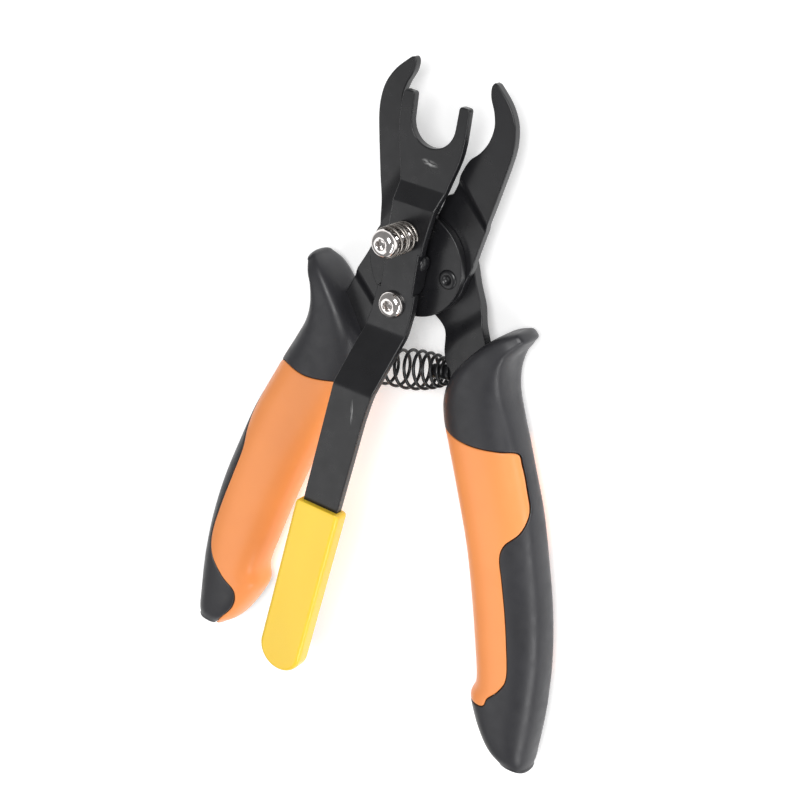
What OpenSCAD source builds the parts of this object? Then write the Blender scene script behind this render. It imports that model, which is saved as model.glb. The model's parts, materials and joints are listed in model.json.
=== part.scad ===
// Spring-return hook-jaw pliers with a sprung fork lever.
// Lies flat: +Z up through the plates, +Y towards the jaws, resting on its two grips.

/* [Plates] */
// Thickness of the jaw plates
plate_t = 3.2; // [3:0.1:3.3]
// Thickness of the back plate
back_t = 4; // [3.6:0.1:4.4]
// Radius of the round pivot bosses
boss_r = 18.3; // [17.6:0.1:18.8]
// Sideways place of the line midway between the jaws
jaw_mid = 2.4; // [1.8:0.1:2.8]
// Radius of the pivot screw's shank
pivot_r = 4; // [3.5:0.1:4.5]
// Full closing angle of the jaws, which the stop slot allows
close_deg = 24; // [16:1:24]

/* [Fork lever] */
// Thickness of the lever
lever_t = 3; // [2.6:0.1:3.2]
// Height of the lever's middle face above the plates' middle plane
lever_mid_z = 13; // [12.8:0.1:13.6]
// Height of the fork's face
lever_fork_z = 10; // [9.6:0.1:10.6]
// Height of the handle's face
lever_grip_z = 24; // [23:0.5:26]
// Half width of the fork slot
slot_r = 8.3; // [7:0.1:8.6]
// Wall of the dipped sleeve
sleeve_wall = 2; // [1.5:0.1:2.2]
// Radius of the fulcrum pin
fulcrum_r = 1.8; // [1.5:0.1:2]

/* [Fasteners and springs] */
// Radius of the button heads
head_r = 4.75; // [4.4:0.05:5]
// Height of the button heads
head_h = 2.75; // [2.4:0.05:3]
// Radius of the screws' shanks
screw_r = 2.5; // [2.3:0.1:2.6]
// Across flats of the hex sockets
socket_af = 3; // [2.5:0.5:3]
// Wire radius of the lever spring
lever_wire_r = 0.65; // [0.5:0.05:0.8]
// Coils of the lever spring
lever_coils = 6; // [5:1:7]
// Wire radius of the return spring
return_wire_r = 0.6; // [0.5:0.05:0.7]
// Coils of the return spring
return_coils = 10; // [8:1:11]

/* [Grips] */
// Half thickness of the grips
grip_b = 10; // [9:0.5:10.5]
// Wall that the soft cover takes off the core
cover_wall = 1.6; // [1.2:0.1:2]

/* [Hidden] */

seg = 64;
gap = 0.05;
// The middle plane of the plates' stack lies this high, and the pivot this far forward.
grip_mid_z = -1.8;
tip_y = 67.1;
tail_y = -176.1;
pivot_y = -(tip_y + tail_y) / 2;
pivot_z = grip_b - grip_mid_z;

// Levels of the three plates at the pivot, and of the jaws and arms.
right_z = -plate_t / 2;
left_z = plate_t / 2 + gap;
back_z = -plate_t / 2 - gap - back_t;
jaw_lift = plate_t / 2;
arm_drop = 1.8;
back_lift = 1.85;
right_step_s = 28.4;
left_step_s = 18.5;
step_run = 2.6;
arm_step_s = 24.4;
arm_step_run = 3.1;
neck_r = 27.6;
right_short = 1.1;

// The stop rivet and the arc slot it runs in.
stop_at = [13.4, -1.4];
stop_r = 2.5;
stop_orbit = norm(stop_at);
stop_ang = atan2(stop_at[1], stop_at[0]);
stop_head_r = 3.4;

// The lever's fulcrum and its two screws.
fulcrum_y = 2.6;
fulcrum_z = 8.7;
ear_x = [-7.2, 5.6];
ear_y = [-8, 6.2];
ear_bottom = 5.9;
spring_at = [-0.2, 11.4];
stop_screw_at = [-1.6, -13.2];
spring_head_z = 25.2;
lever_hole_r = screw_r + 0.7;
fit = 0.05;

// The return spring's ends, on the inner edges of the two arms.
return_a = [-15.6, -44.9, grip_mid_z];
return_b = [15.9, -35.9, grip_mid_z];
peg_r = 2.6;
peg_len = 6;
peg_root_r = 3.2;
left_peg_root = 8;
right_peg_root = 1.5;

// ---- curves -------------------------------------------------------------

// One point of a Catmull-Rom curve through p, at i + f.
function cr_at(p, i, f) =
    let (a = p[max(i - 1, 0)], b = p[i], c = p[i + 1], d = p[min(i + 2, len(p) - 1)])
    b + f * ((c - a) / 2 + f * ((a - 2.5 * b + 2 * c - 0.5 * d)
        + f * (1.5 * (b - c) + (d - a) / 2)));

// A smooth curve through p, with n steps between neighbours.
function curve(p, n) = concat(
    [for (i = [0:len(p) - 2], j = [0:n - 1]) cr_at(p, i, j / n)], [p[len(p) - 1]]);

// The same curve read at t from 0 to 1.
function curve_at(p, t) =
    let (u = t * (len(p) - 1), i = min(floor(u), len(p) - 2)) cr_at(p, i, u - i);

function arc(r, a0, a1, n) = [for (i = [0:n]) let (a = a0 + (a1 - a0) * i / n) r * [cos(a), sin(a)]];
function reversed(p) = [for (i = [len(p) - 1:-1:0]) p[i]];

// ---- outlines, from the pivot --------------------------------------------

// A jaw's outer edge from neck to tip and its inner edge back, measured from jaw_mid.
jaw_outer = [[18.2, 8.4], [19.8, 16.5], [21.6, 23.4], [23.2, 31], [24.7, 38.5], [25.9, 45.5],
    [26, 51], [24.8, 56.5], [21.6, 61.8], [16.6, 66.6]];
jaw_inner = [[15.4, 67.1], [14.4, 65.4], [14.8, 62], [16.8, 57.6], [17.7, 53], [16.6, 47.8],
    [14, 43.6], [10.8, 40.4], [8.6, 35.6], [6.7, 29.6], [4.9, 24.6], [2.9, 17.6]];

// side is 1 for the right jaw and -1 for the left, which reaches a little further.
module jaw_shape(side) {
    translate([jaw_mid, side == 1 ? -right_short : 0]) scale([side, 1])
        polygon(concat([[0, 2], [17, 2]], curve(jaw_outer, 4), curve(jaw_inner, 4)));
}

// The left jaw's neck lies over the right one's, up to an arc that clears its step.
module left_neck_shape() {
    polygon(concat([[-10, 2], [3.9, 2], [3.9, 18]], arc(neck_r, 75, 99, 6)));
}

// The right jaw's neck runs down to the boss, just under the left one's edge.
module right_neck_shape() {
    polygon([[0, 0], [17, -6], [18.6, -1], [20.2, 4], [20.4, 8.6], [9, 26], [6.2, 25.6],
        [4, 17.6], [0, 10]]);
}

// An arm's outer and inner edges down to the tang's end inside the grip.
arm_outer = [[14.2, 10], [18, 5.4], [21, -2.4], [24.4, -9.6], [27.2, -16.2], [29.8, -22.4],
    [33.4, -31], [41, -50], [52, -78], [60, -108], [62.5, -131]];
arm_inner = [[54.5, -131], [50, -110], [40, -84], [29, -60], [19.5, -41], [14.6, -30.7],
    [12.4, -23], [10.2, -19.8], [6, -17.2]];

module arm_shape(side) {
    scale([side, 1]) polygon(concat([[0, 8]], curve(arm_outer, 3), curve(arm_inner, 3)));
}

// The lever's left edge from fork to end and its right edge back.
lever_left = [[-10.8, 57.8], [-11.2, 54], [-11, 47], [-10, 40.8], [-8.4, 34], [-7.5, 28],
    [-7.3, 22], [-7.5, 12], [-7.8, 0], [-8.6, -10], [-9.6, -18], [-11.6, -28], [-13.2, -40],
    [-15, -54], [-19.2, -90], [-25, -138]];
lever_right = [[-11, -140], [-4.5, -90], [0.2, -54], [2.6, -42], [4.8, -26], [6.4, -15],
    [6.5, -8], [6.6, 6], [7.4, 14], [8.8, 22], [10.2, 28.4], [11.8, 34], [13.4, 39.6], [14.2, 46],
    [14.1, 57.2]];
slot_mid = [1.85, 49.7];
slot_mouth = 0.35;
handle_end = [-19.8, -153];
handle_end_r = 7.1;

module lever_shape() {
    difference() {
        union() {
            polygon(concat(curve(lever_left, 2), curve(lever_right, 2)));
            hull() {
                translate((lever_left[15] + lever_right[0]) / 2) circle(r = handle_end_r, $fn = seg);
                translate(handle_end) circle(r = handle_end_r, $fn = seg);
            }
        }
        translate(slot_mid) circle(r = slot_r, $fn = seg);
        translate(slot_mid) polygon([[-slot_r, 0], [slot_r, 0],
            [slot_r + slot_mouth, 12], [-slot_r - slot_mouth, 12]]);
    }
}

// ---- bent sheet ----------------------------------------------------------

// A strip t thick whose top follows p, pairs of distance and height.
function strip(p, t) = concat(p, [for (q = reversed(p)) q - [0, t]]);

// That strip as a wide prism, with its distance measured from the pivot towards ang.
module bent(p, t, ang) {
    rotate([0, 0, ang]) rotate([90, 0, 0]) translate([0, 0, -250])
        linear_extrude(500) polygon(strip(p, t));
}

module bent_plate(p, t, ang) {
    intersection() {
        bent(p, t, ang);
        translate([0, 0, -40]) linear_extrude(100) children();
    }
}

module upright(z, h, r) {
    translate([0, 0, z]) cylinder(h = h, r = r, $fn = seg);
}

module at_pivot() {
    translate([0, pivot_y, pivot_z]) children();
}

// ---- plates --------------------------------------------------------------

right_step_ang = 45;
left_step_ang = 150;

module left_jaw_plate() {
    top = left_z + plate_t;
    color("#2a2a2c") at_pivot() difference() {
        union() {
            upright(left_z, plate_t, boss_r);
            bent_plate([[-30, top], [left_step_s, top], [left_step_s + step_run, top - jaw_lift],
                [100, top - jaw_lift]], plate_t, left_step_ang) {
                    jaw_shape(-1);
                    left_neck_shape();
                }
        }
        upright(left_z - 1, plate_t + 2, pivot_r + fit);
        translate(stop_at) upright(left_z - 1, plate_t + 2, stop_r);
        translate(spring_at) upright(left_z - 1, plate_t + 2, screw_r);
        translate(stop_screw_at) upright(left_z - 1, plate_t + 2, screw_r);
    }
}

// The arc slot that lets the right jaw close by close_deg around the stop rivet.
module stop_slot() {
    r0 = stop_orbit - stop_r - 0.3;
    r1 = stop_orbit + stop_r + 0.3;
    translate([0, 0, -plate_t]) {
        linear_extrude(2 * plate_t)
            polygon(concat(arc(r1, stop_ang - close_deg, stop_ang, 12),
                arc(r0, stop_ang, stop_ang - close_deg, 12)));
        for (a = [stop_ang - close_deg, stop_ang])
            translate(stop_orbit * [cos(a), sin(a)])
                cylinder(h = 2 * plate_t, r = stop_r + 0.3, $fn = seg);
    }
}

module right_jaw_plate() {
    top = right_z + plate_t;
    color("#2a2a2c") at_pivot() difference() {
        union() {
            upright(right_z, plate_t, boss_r);
            bent_plate([[-30, top], [right_step_s, top],
                [right_step_s + step_run, top + jaw_lift],
                [100, top + jaw_lift]], plate_t, right_step_ang) {
                    jaw_shape(1);
                    right_neck_shape();
                }
            bent_plate([[-30, top], [arm_step_s, top], [arm_step_s + arm_step_run, top - arm_drop],
                [200, top - arm_drop]], plate_t, 227)
                    arm_shape(-1);
        }
        upright(-plate_t, 2 * plate_t, pivot_r + fit);
        stop_slot();
    }
}

module back_plate() {
    top = back_z + back_t;
    color("#2a2a2c") at_pivot() difference() {
        union() {
            upright(back_z, back_t, boss_r);
            bent_plate([[-30, top], [arm_step_s, top], [arm_step_s + arm_step_run, top + back_lift],
                [200, top + back_lift]], back_t, -44)
                    arm_shape(1);
        }
        upright(back_z - 1, back_t + 2, pivot_r + fit);
        translate(stop_at) upright(back_z - 1, back_t + 2, stop_r);
    }
}

// ---- pivot ---------------------------------------------------------------

nut_h = 3.6;
nut_af = 13;

module pivot_screw() {
    color("#3a3a3c") at_pivot() {
        upright(back_z - nut_h - 0.6, left_z + plate_t - back_z + nut_h + 0.4, pivot_r);
    }
}

module pivot_nut() {
    color("#3a3a3c") at_pivot() difference() {
        translate([0, 0, back_z - nut_h]) cylinder(h = nut_h, d = nut_af / cos(30), $fn = 6);
        upright(back_z - nut_h - 1, nut_h + 2, pivot_r);
    }
}

module stop_rivet() {
    color("#2a2a2c") at_pivot() translate(stop_at) difference() {
        union() {
            upright(back_z - 0.8, left_z + plate_t - back_z + 0.8, stop_r);
            upright(left_z + plate_t, 0.7, stop_head_r);
            upright(back_z - 0.8, 0.8, stop_head_r);
        }
        upright(left_z + plate_t - 0.5, 2, 1.3);
    }
}

// ---- fork lever ----------------------------------------------------------

fork_end_y = 28.1;
mid_start_y = 22.3;
mid_end_y = -23.6;
handle_y = -42.7;

// The lever's side view: distance forward of the pivot and height of its top face.
function lever_line(lift) = [
    [70, lever_fork_z + lift], [fork_end_y, lever_fork_z + lift],
    [mid_start_y, lever_mid_z + lift], [mid_end_y, lever_mid_z + lift],
    [handle_y, lever_grip_z + lift], [-200, lever_grip_z + lift]];

module across(y, z, x0, x1, r) {
    translate([x0, y, z]) rotate([0, 90, 0]) cylinder(h = x1 - x0, r = r, $fn = seg);
}

module ear(x) {
    translate([x, 0, 0]) rotate([90, 0, 90]) linear_extrude(lever_t)
        polygon([[ear_y[0], lever_mid_z], [ear_y[0], ear_bottom + 2], [ear_y[0] + 2, ear_bottom],
            [ear_y[1] - 3.4, ear_bottom], [ear_y[1] - 0.8, ear_bottom + 1.6],
            [ear_y[1], ear_bottom + 4], [ear_y[1], lever_mid_z]]);
}

module fork_lever() {
    color("#2a2a2c") at_pivot() difference() {
        union() {
            bent_plate(lever_line(0), lever_t, 90) difference() {
                lever_shape();
                translate([ear_x[1], ear_y[0]]) square([5, ear_y[1] - ear_y[0]]);
                translate([ear_x[0] - 5, ear_y[0]]) square([5, ear_y[1] - ear_y[0]]);
            }
            ear(ear_x[0]);
            ear(ear_x[1] - lever_t);
        }
        across(fulcrum_y, fulcrum_z, ear_x[0] - 1, ear_x[1] + 1, fulcrum_r);
        translate(spring_at) upright(lever_mid_z - 5, 8, lever_hole_r);
        translate(stop_screw_at) upright(lever_mid_z - 5, 8, lever_hole_r);
    }
}

// The block stands on the left jaw's plate between the lever's ears.
block_x = [ear_x[0] + lever_t + 0.2, ear_x[1] - lever_t - 0.2];
block_y = [fulcrum_y - 5, fulcrum_y + 5];

module fulcrum_block() {
    z0 = left_z + plate_t;
    color("#2a2a2c") at_pivot() difference() {
        translate([block_x[0], 0, 0]) rotate([90, 0, 90]) linear_extrude(block_x[1] - block_x[0])
            polygon([[block_y[0], z0], [block_y[1], z0], [block_y[1], z0 + 1.5],
                [fulcrum_y + 3, z0 + 4.4], [fulcrum_y - 3, z0 + 4.4], [block_y[0], z0 + 1.5]]);
        across(fulcrum_y, fulcrum_z, block_x[0] - 1, block_x[1] + 1, fulcrum_r + fit);
    }
}

// Shank through both ears, with a low domed head outside each.
module fulcrum_pin() {
    dome = 1.5;
    color("#2a2a2c") at_pivot() {
        across(fulcrum_y, fulcrum_z, ear_x[0], ear_x[1], fulcrum_r);
        for (side = [0, 1])
            translate([ear_x[side], fulcrum_y, fulcrum_z]) rotate([0, side == 0 ? -90 : 90, 0])
                rotate_extrude($fn = 48)
                    polygon(concat([[0, 0]], [for (a = [0:15:90]) [2.7 * cos(a), dome * sin(a)]]));
    }
}

sleeve_top_y = -92;

module lever_sleeve() {
    color("#fcd23f") at_pivot() difference() {
        translate([0, 0, lever_grip_z - lever_t - sleeve_wall])
            linear_extrude(lever_t + 2 * sleeve_wall) intersection() {
                offset(r = sleeve_wall, $fn = 48) lever_shape();
                translate([-60, -200]) square([80, 200 + sleeve_top_y]);
            }
        translate([0, 0, lever_grip_z - lever_t])
            linear_extrude(lever_t) lever_shape();
    }
}

// ---- screws and springs ---------------------------------------------------

// A button-head screw: head on z, shank len long below it.
module button_screw(z, len) {
    color("#d9d6d2") difference() {
        union() {
            translate([0, 0, z]) rotate_extrude($fn = seg)
                polygon(concat([[0, 0], [head_r, 0]],
                    [for (a = [10:10:60])
                        [head_r * cos(a * 0.98), 0.4 + (head_h - 0.4) * sin(a) / sin(60)]],
                    [[0, head_h]]));
            upright(z - len, len, screw_r);
        }
        translate([0, 0, z + head_h - 1.7])
            cylinder(h = 3, d = socket_af / cos(30), $fn = 6);
    }
}

module spring_screw() {
    at_pivot() translate(spring_at) button_screw(spring_head_z, spring_head_z - left_z);
}

module stop_screw() {
    at_pivot() translate(stop_screw_at) button_screw(lever_mid_z + gap, lever_mid_z + gap - left_z);
}

// A point of a coil along +Z, at t from 0 to 1, r out and h up.
function coil_at(t, turns, r, h) = [r * cos(360 * turns * t), r * sin(360 * turns * t), h];

// A round wire swept along pts.
module coil(pts, wire) {
    n = 6;
    rings = [for (i = [0:len(pts) - 1])
        let (a = pts[max(i - 1, 0)], b = pts[min(i + 1, len(pts) - 1)],
            d = (b - a) / norm(b - a), out = [pts[i][0], pts[i][1], 0] / norm([pts[i][0], pts[i][1], 0]),
            side = cross(d, out) / norm(cross(d, out)), up = cross(side, d))
        [for (k = [0:n - 1]) pts[i] + wire * (up * cos(360 * k / n) + side * sin(360 * k / n))]];
    m = len(pts);
    polyhedron(
        points = [for (ring = rings, p = ring) p],
        faces = concat(
            [[for (k = [0:n - 1]) k]],
            [for (i = [0:m - 2], k = [0:n - 1])
                let (k1 = (k + 1) % n) [i * n + k, (i + 1) * n + k, (i + 1) * n + k1, i * n + k1]],
            [[for (k = [n - 1:-1:0]) (m - 1) * n + k]]),
        convexity = 8);
}

module lever_spring() {
    r = 5.3 - lever_wire_r;
    z0 = lever_mid_z + lever_wire_r + 0.02;
    h = spring_head_z - lever_mid_z - 2 * lever_wire_r - 0.04;
    steps = lever_coils * 16;
    color("#7c7874") at_pivot() translate([spring_at[0], spring_at[1], z0])
        coil([for (i = [0:steps]) let (t = i / steps)
            coil_at(t, lever_coils, r, h * (t - 0.045 * sin(720 * t)))], lever_wire_r);
}

// The return spring swells from its right end and stays wide to its left end.
function return_r(t) = t < 0.62 ? 4.3 + 3.1 * sin(90 * t / 0.62) : 7.4 - 1.6 * (t - 0.62) / 0.38;

module along_return(from_a) {
    d = return_b - return_a;
    ang = atan2(d[1], d[0]);
    translate(from_a ? return_a : return_b) rotate([0, 0, ang]) rotate([0, from_a ? 90 : -90, 0])
        children();
}

module return_spring() {
    steps = return_coils * 14;
    length = norm(return_b - return_a) - 2 * return_wire_r - 0.2;
    color("#1c1c1e") at_pivot() along_return(false)
        translate([0, 0, return_wire_r + 0.1])
            coil([for (i = [0:steps]) let (t = i / steps)
                coil_at(t, return_coils, return_r(t) - return_wire_r, length * pow(t, 1.35))],
                return_wire_r);
}

// A peg's thick root, which runs back from the spring's end to the arm's edge.
module peg_root(from_a, r, len) {
    along_return(from_a) translate([0, 0, -len]) cylinder(h = len, r = r, $fn = 48);
}

// The left peg stands in a hole through the grip, the right one straight on the arm.
module spring_peg(from_a, len, z, t) {
    color("#2a2a2c") at_pivot() difference() {
        union() {
            along_return(from_a) cylinder(h = peg_len, r = peg_r, $fn = 48);
            peg_root(from_a, peg_root_r, len);
        }
        scale([from_a ? -1 : 1, 1, 1]) tang_slot(z, t);
    }
}

// ---- grips ---------------------------------------------------------------

// Inner and outer edges of a grip, from the flared top to the tail.
grip_inner = [[42.4, -9.2], [36.4, -13], [30, -19.8], [23.6, -27.8], [19.2, -35.2], [17.4, -43],
    [18.6, -50.6], [22, -59], [28.8, -75.4], [35.8, -93], [41.4, -111], [46.2, -128.6],
    [49.4, -142], [48.2, -148.4], [50, -153.6], [54.6, -161.2], [60.4, -169.2], [68, -175.8]];
grip_outer = [[44.8, -11.6], [43.4, -15.8], [41.8, -20.6], [41.3, -26.8], [42.8, -33.8],
    [46.2, -41.8], [50, -50.4], [54, -59.6], [60.4, -74.6], [66, -92], [71, -109.4],
    [74.4, -127], [75.8, -142], [76.2, -150], [76.2, -157.6], [75.8, -164.8], [74.6, -170.6],
    [71, -176.1]];
// Half thickness along the grip as a share of grip_b.
grip_swell = [0.6, 0.86, 0.94, 0.98, 1, 1, 1, 1, 1, 1, 1, 1, 1, 1, 0.97, 0.9, 0.74, 0.4];
grip_power = 0.82;

function rounded(c) = sign(c) * pow(abs(c), grip_power);

// Station t's section: n points around, shrunk by wall.
function grip_ring(t, n, wall) =
    let (a = curve_at(grip_inner, t), b = curve_at(grip_outer, t), m = (a + b) / 2,
        half = (b - a) / 2, thick = min(curve_at(grip_swell, t), 1) * grip_b,
        k = max(1 - wall / norm(half), 0.2), kz = max(1 - wall / thick, 0.2))
    [for (i = [0:n - 1]) let (c = rounded(cos(360 * i / n)), s = rounded(sin(360 * i / n)))
        [m[0] + half[0] * c * k, m[1] + half[1] * c * k, grip_mid_z + thick * s * kz]];

module grip_body(wall, t0, t1) {
    n = 24;
    m = 34;
    rings = [for (i = [0:m]) grip_ring(t0 + (t1 - t0) * i / m, n, wall)];
    polyhedron(
        points = [for (ring = rings, p = ring) p],
        faces = concat(
            [[for (k = [0:n - 1]) k]],
            [for (i = [0:m - 1], k = [0:n - 1])
                let (k1 = (k + 1) % n) [i * n + k, (i + 1) * n + k, (i + 1) * n + k1, i * n + k1]],
            [[for (k = [n - 1:-1:0]) m * n + k]]),
        convexity = 4);
}

// Where the soft cover meets the core: the wide wave and the narrow wave.
split_wide = [[10, -51], [23.5, -53.8], [34, -54.2], [44, -52.9], [48.8, -52.6], [51.4, -57],
    [54.4, -64.6], [56.2, -72], [55.4, -78.4], [52.8, -84], [52.6, -90], [55, -97.8],
    [58.4, -109], [61.4, -120.8], [63.8, -133], [62, -139.4], [58, -144.8], [55.4, -149.4],
    [40, -151]];
split_narrow = [[10, -50.6], [24.4, -52], [36, -53.4], [49, -52.4], [54, -60.6], [57.4, -69.6],
    [59.8, -77], [60.6, -84], [60.6, -92], [63.6, -104], [68, -120], [70.6, -133], [69, -141],
    [62.6, -148], [56.6, -152.6], [57.4, -160.4], [64.6, -169.6], [70.8, -180], [40, -190]];

// Where the core comes to the surface: the wide wave above the middle plane, the narrow below.
module core_zone() {
    translate([0, 0, grip_mid_z]) linear_extrude(2 * grip_b) polygon(curve(split_wide, 4));
    translate([0, 0, grip_mid_z - 2 * grip_b]) linear_extrude(2 * grip_b)
        polygon(curve(split_narrow, 4));
}

module tang_slot(z, t) {
    translate([0, 0, z]) linear_extrude(t) arm_shape(1);
}

// side is 1 on the right grip, whose wide wave faces up, and -1 on the left, turned over.
module placed(side) {
    if (side == 1) children();
    else translate([0, 0, 2 * grip_mid_z]) rotate([0, 180, 0]) children();
}

module grip_core(side, z, t) {
    color("#ff9a5c") at_pivot() difference() {
        placed(side) union() {
            grip_body(cover_wall, 0.03, 0.985);
            intersection() {
                grip_body(0, 0, 1);
                core_zone();
            }
        }
        scale([side, 1, 1]) tang_slot(z, t);
        peg_root(true, peg_root_r + fit, left_peg_root);
    }
}

module grip_cover(side, z, t) {
    color("#3c3d40") at_pivot() difference() {
        placed(side) difference() {
            grip_body(0, 0, 1);
            grip_body(cover_wall, 0.03, 0.985);
            core_zone();
        }
        scale([side, 1, 1]) tang_slot(z, t);
        peg_root(true, peg_root_r + fit, left_peg_root);
    }
}

left_arm_z = right_z - arm_drop;
right_arm_z = back_z + back_lift;

module left_grip_core() { grip_core(-1, left_arm_z, plate_t); }
module left_grip_cover() { grip_cover(-1, left_arm_z, plate_t); }
module right_grip_core() { grip_core(1, right_arm_z, back_t); }
module right_grip_cover() { grip_cover(1, right_arm_z, back_t); }
module left_spring_peg() { spring_peg(true, left_peg_root, left_arm_z, plate_t); }
module right_spring_peg() { spring_peg(false, right_peg_root, right_arm_z, back_t); }

left_jaw_plate();
right_jaw_plate();
back_plate();
pivot_screw();
pivot_nut();
stop_rivet();
fulcrum_block();
fulcrum_pin();
fork_lever();
lever_sleeve();
lever_spring();
spring_screw();
stop_screw();
return_spring();
left_spring_peg();
right_spring_peg();
left_grip_core();
left_grip_cover();
right_grip_core();
right_grip_cover();
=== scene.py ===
"""Finished look of the spring-return release pliers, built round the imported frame."""

import json
from math import cos, pi, radians, sin, sqrt

import bmesh
import bpy
import numpy as np
from mathutils import Matrix, Vector

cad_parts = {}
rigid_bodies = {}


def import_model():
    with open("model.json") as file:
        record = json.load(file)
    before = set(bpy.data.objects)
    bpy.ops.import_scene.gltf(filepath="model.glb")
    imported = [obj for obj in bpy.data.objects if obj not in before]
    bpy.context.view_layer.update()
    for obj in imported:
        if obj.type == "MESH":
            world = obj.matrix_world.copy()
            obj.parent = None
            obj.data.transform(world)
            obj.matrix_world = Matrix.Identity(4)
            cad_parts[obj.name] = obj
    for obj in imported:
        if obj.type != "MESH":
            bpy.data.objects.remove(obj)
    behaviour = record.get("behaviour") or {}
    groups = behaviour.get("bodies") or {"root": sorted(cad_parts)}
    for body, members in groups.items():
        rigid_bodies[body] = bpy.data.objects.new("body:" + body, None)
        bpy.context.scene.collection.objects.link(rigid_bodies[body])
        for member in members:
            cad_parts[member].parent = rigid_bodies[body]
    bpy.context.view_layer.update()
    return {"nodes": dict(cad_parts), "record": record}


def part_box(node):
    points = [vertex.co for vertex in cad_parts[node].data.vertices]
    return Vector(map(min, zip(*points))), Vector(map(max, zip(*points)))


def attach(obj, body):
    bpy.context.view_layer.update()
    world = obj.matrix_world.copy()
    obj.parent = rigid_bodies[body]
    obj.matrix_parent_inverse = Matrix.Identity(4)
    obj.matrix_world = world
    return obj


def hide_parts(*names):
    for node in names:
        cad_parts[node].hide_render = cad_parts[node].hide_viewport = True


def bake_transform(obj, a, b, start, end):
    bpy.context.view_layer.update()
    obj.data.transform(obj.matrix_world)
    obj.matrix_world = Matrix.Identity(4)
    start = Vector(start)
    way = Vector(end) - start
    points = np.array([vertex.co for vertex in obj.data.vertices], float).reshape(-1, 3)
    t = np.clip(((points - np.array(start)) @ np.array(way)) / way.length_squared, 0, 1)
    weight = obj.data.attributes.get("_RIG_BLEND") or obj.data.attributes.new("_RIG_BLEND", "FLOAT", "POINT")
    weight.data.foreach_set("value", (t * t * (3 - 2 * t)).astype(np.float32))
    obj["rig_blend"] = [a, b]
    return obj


bl_info = {
    "name": "Release Pliers",
    "version": (1, 0, 0),
    "blender": (4, 5, 0),
    "location": "View3D > Sidebar > Pliers",
    "description": "Builds the finished pieces of spring-return release pliers on their frame",
    "category": "Mesh",
}

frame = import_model()

MM = 0.001
JOINTS = {joint["name"]: joint for joint in frame["record"]["behaviour"]["joints"]}
PIVOT = Vector(JOINTS["jaw_pivot"]["pos_m"])
MAIN = JOINTS["jaw_pivot"]["parent"]
JAW = JOINTS["jaw_pivot"]["child"]
LEVER = JOINTS["lever_rock"]["child"]


def node_box(node):
    """A CAD node's lowest and highest corners, in millimetres from the pivot."""
    low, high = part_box(node)
    return (Vector(low) - PIVOT) / MM, (Vector(high) - PIVOT) / MM


# ---- sizes and colours ------------------------------------------------------


def size(name, description, millimetres):
    """A length the user can change."""
    return bpy.props.FloatProperty(
        name=name, description=description, default=millimetres * MM, min=0.0,
        unit="LENGTH", precision=5,
    )


def colour(name, description, default):
    """A colour the user can change."""
    return bpy.props.FloatVectorProperty(
        name=name, description=description, default=default, subtype="COLOR", min=0.0, max=1.0,
    )


class PliersSizes(bpy.types.PropertyGroup):
    """Sizes of the details that the frame leaves plain."""

    edge: size("Plate edge", "Rounding of the stamped edges", 0.42)
    corner: size("Plate corner", "Rounding of the plates' corners in plan", 1.0)
    sleeve_edge: size("Sleeve edge", "Rounding of the dipped sleeve", 1.75)
    lever_wire: size("Lever spring wire", "Wire radius of the lever's spring", 0.55)
    return_wire: size("Return spring wire", "Wire radius of the return spring", 0.6)
    groove: size("Groove", "Half width of the groove between a grip's two colours", 0.1)
    shoulder: size("Shoulder", "Rounding beside that groove", 0.5)
    skin: size("Grip wall", "Wall of the grips' moulded skins", 1.3)


class PliersColours(bpy.types.PropertyGroup):
    """Colours of the finishes."""

    paint: colour("Paint", "Black paint on the plates and the lever", (0.0100, 0.0100, 0.0115))
    wire: colour("Black wire", "Black oxide on the return spring", (0.012, 0.012, 0.013))
    steel: colour("Spring steel", "Bare wire of the lever's spring", (0.30, 0.28, 0.26))
    chrome: colour("Bright screws", "Plating of the button-head screws", (0.80, 0.76, 0.74))
    sleeve: colour("Sleeve", "Dipped vinyl of the sleeve", (1.0, 0.66, 0.05))
    core: colour("Grip core", "Hard plastic of the grips", (1.0, 0.345, 0.105))
    cover: colour("Grip cover", "Soft cover of the grips", (0.028, 0.028, 0.032))


def sizes():
    """The sizes as the user has set them."""
    return bpy.context.scene.pliers_sizes


def colours():
    """The colours as the user has set them."""
    return bpy.context.scene.pliers_colours


# ---- materials --------------------------------------------------------------


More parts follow.
